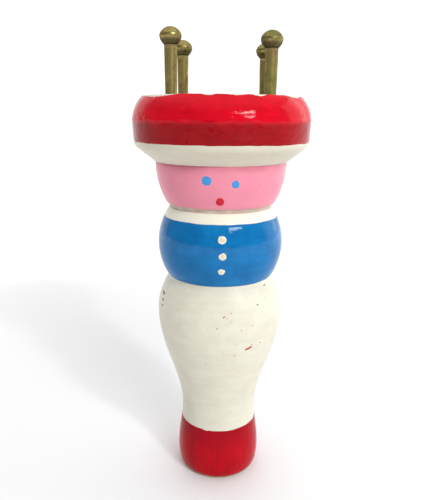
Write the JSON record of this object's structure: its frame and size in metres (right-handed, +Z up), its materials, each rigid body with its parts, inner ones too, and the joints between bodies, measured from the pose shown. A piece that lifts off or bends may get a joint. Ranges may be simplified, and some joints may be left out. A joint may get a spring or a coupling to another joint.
{
  "type": "knitting doll",
  "caption": "Lathe-turned wooden knitting doll: a painted body with a bore down its axis and brass yarn pins standing on its hat.",
  "frame": {"origin": "centre of the flat base that the doll stands on, on the axis of the bore", "axes": "+Z up along the bore towards the pins, -Y the way the face looks, +X to the right of someone looking at the face"},
  "size_m": [0.0394, 0.0394, 0.1041],
  "materials": {
    "painted_wood": "turned beech under ivory enamel",
    "brass": "tarnished",
    "red_paint": "gloss enamel",
    "ivory_paint": "gloss enamel",
    "pink_paint": "gloss enamel",
    "blue_paint": "gloss enamel"
  },
  "bodies": {
    "root": {"body": "painted_wood", "pin_front_left": "brass", "pin_front_right": "brass", "pin_back_left": "brass", "pin_back_right": "brass"}
  },
  "joints": []
}
